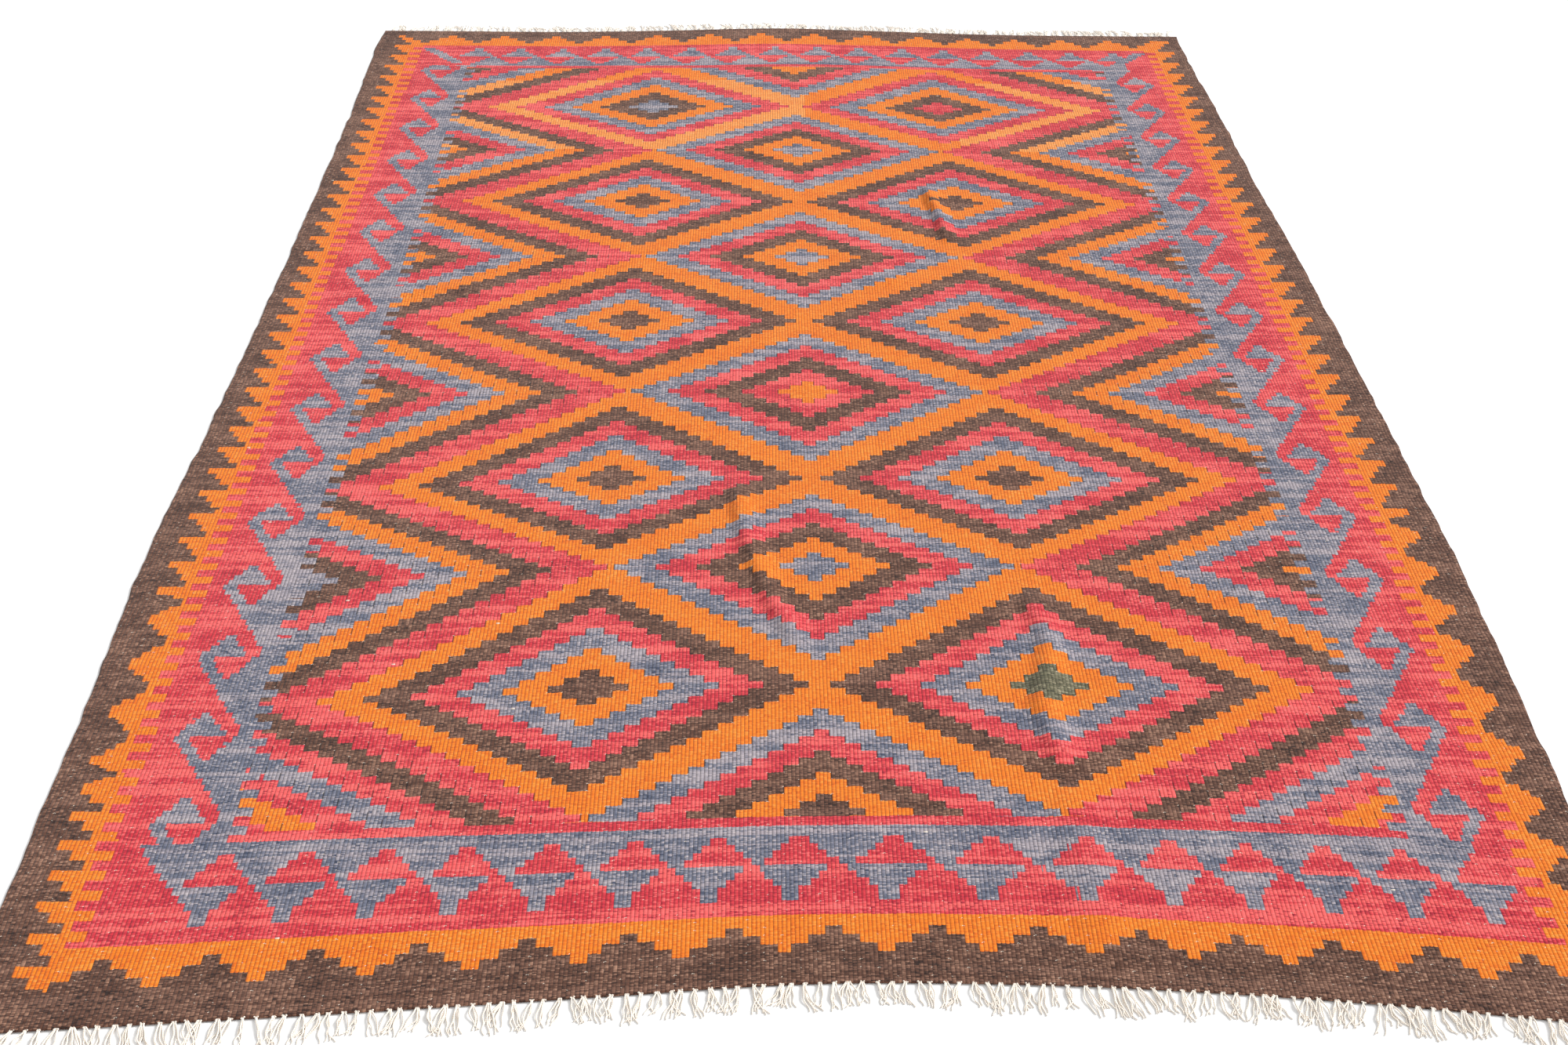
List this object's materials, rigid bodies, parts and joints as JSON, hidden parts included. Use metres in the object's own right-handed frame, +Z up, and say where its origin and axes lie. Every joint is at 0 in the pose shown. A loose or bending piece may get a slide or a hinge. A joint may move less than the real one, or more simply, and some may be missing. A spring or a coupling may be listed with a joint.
{
  "type": "kilim rug",
  "caption": "Flat-woven wool kilim rug with stepped diamond field, hooked border, toothed edge bands and cotton fringe, lying flat with low fold ridges.",
  "frame": {"origin": "middle of the rug's footprint, fringes included, on the floor it lies on", "axes": "+X across the weave, +Y along the warps towards the far short edge, +Z up out of the face"},
  "size_m": [2.054, 3.0928, 0.0117],
  "materials": {
    "kilim_weave": "matt weft-faced wool with a fine lengthwise rib",
    "warp_ends": "matt undyed cotton yarn, loosely plied"
  },
  "bodies": {
    "root": {"cloth": "kilim_weave", "fringe_front": "warp_ends", "fringe_back": "warp_ends"}
  },
  "joints": []
}
